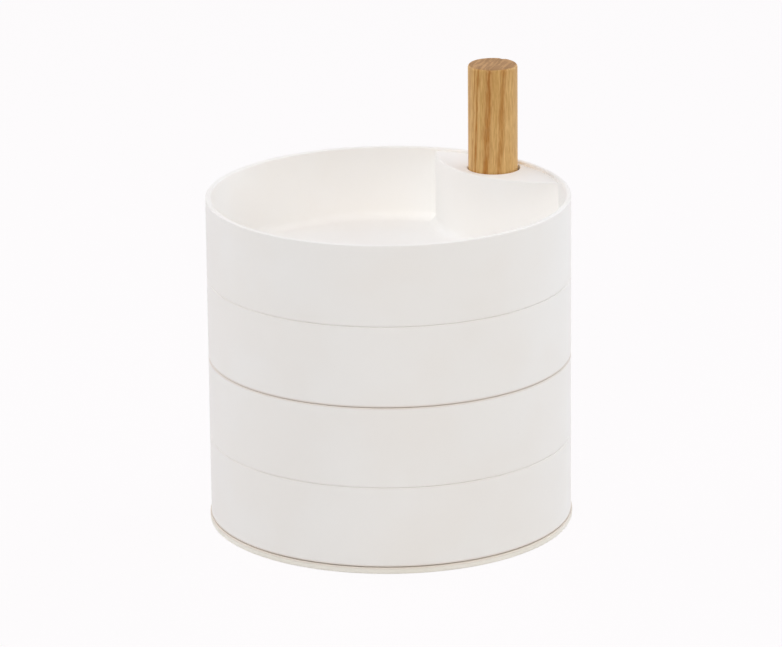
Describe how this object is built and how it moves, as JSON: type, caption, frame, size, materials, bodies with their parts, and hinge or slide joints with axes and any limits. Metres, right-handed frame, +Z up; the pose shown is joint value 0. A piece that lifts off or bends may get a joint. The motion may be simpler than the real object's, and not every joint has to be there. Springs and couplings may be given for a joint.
{
  "type": "rotating jewelry organizer",
  "caption": "Round tabletop jewelry organizer: shallow open trays stacked on a thin round base, each swinging out about one upright wooden post near the rim.",
  "frame": {"origin": "centre of the round base, on the surface that the part stands on", "axes": "+Z up along the post; +X to the right and +Y away from the viewer in the picture, so that the post stands at the back right"},
  "size_m": [0.102, 0.102, 0.123],
  "materials": {
    "tray_plastic": "moulded, satin, warm white",
    "base_plastic": "moulded, satin, warm white, a little yellower than the trays",
    "oiled_wood": "turned dowel, straight grain, lightly oiled",
    "insert_brass": "machined",
    "zinc_steel": "zinc plated",
    "spring_steel": "hardened strip",
    "tube_steel": "drawn and ground",
    "glide_nylon": "natural nylon",
    "bush_acetal": "moulded acetal",
    "foot_rubber": "soft grey pad"
  },
  "bodies": {
    "stand": {"base_plate": "base_plastic", "foot_pad_1": "foot_rubber", "foot_pad_2": "foot_rubber", "foot_pad_3": "foot_rubber", "foot_pad_4": "foot_rubber", "pivot_bolt": "zinc_steel", "bolt_washer": "zinc_steel", "pivot_tube": "tube_steel", "spacer_bush_1": "bush_acetal", "spacer_bush_2": "bush_acetal", "spacer_bush_3": "bush_acetal", "glide_washer_1": "glide_nylon", "glide_washer_2": "glide_nylon", "glide_washer_3": "glide_nylon", "glide_washer_4": "glide_nylon", "glide_washer_top": "glide_nylon", "wave_washer": "spring_steel", "clamp_washer": "zinc_steel", "handle_insert": "insert_brass", "handle": "oiled_wood"},
    "top_tray": {"tray_1": "tray_plastic"},
    "second_tray": {"tray_2": "tray_plastic"},
    "third_tray": {"tray_3": "tray_plastic"},
    "bottom_tray": {"tray_4": "tray_plastic"}
  },
  "joints": [
    {"name": "top_tray_swing", "type": "hinge", "parent": "stand", "child": "top_tray", "pos_m": [0.02985, 0.02883, 0.07071], "axis": [0, 0, 1], "continuous": true},
    {"name": "second_tray_swing", "type": "hinge", "parent": "stand", "child": "second_tray", "pos_m": [0.02985, 0.02883, 0.04789], "axis": [0, 0, 1], "continuous": true},
    {"name": "third_tray_swing", "type": "hinge", "parent": "stand", "child": "third_tray", "pos_m": [0.02985, 0.02883, 0.02497], "axis": [0, 0, 1], "continuous": true},
    {"name": "bottom_tray_swing", "type": "hinge", "parent": "stand", "child": "bottom_tray", "pos_m": [0.02985, 0.02883, 0.00215], "axis": [0, 0, 1], "continuous": true}
  ]
}
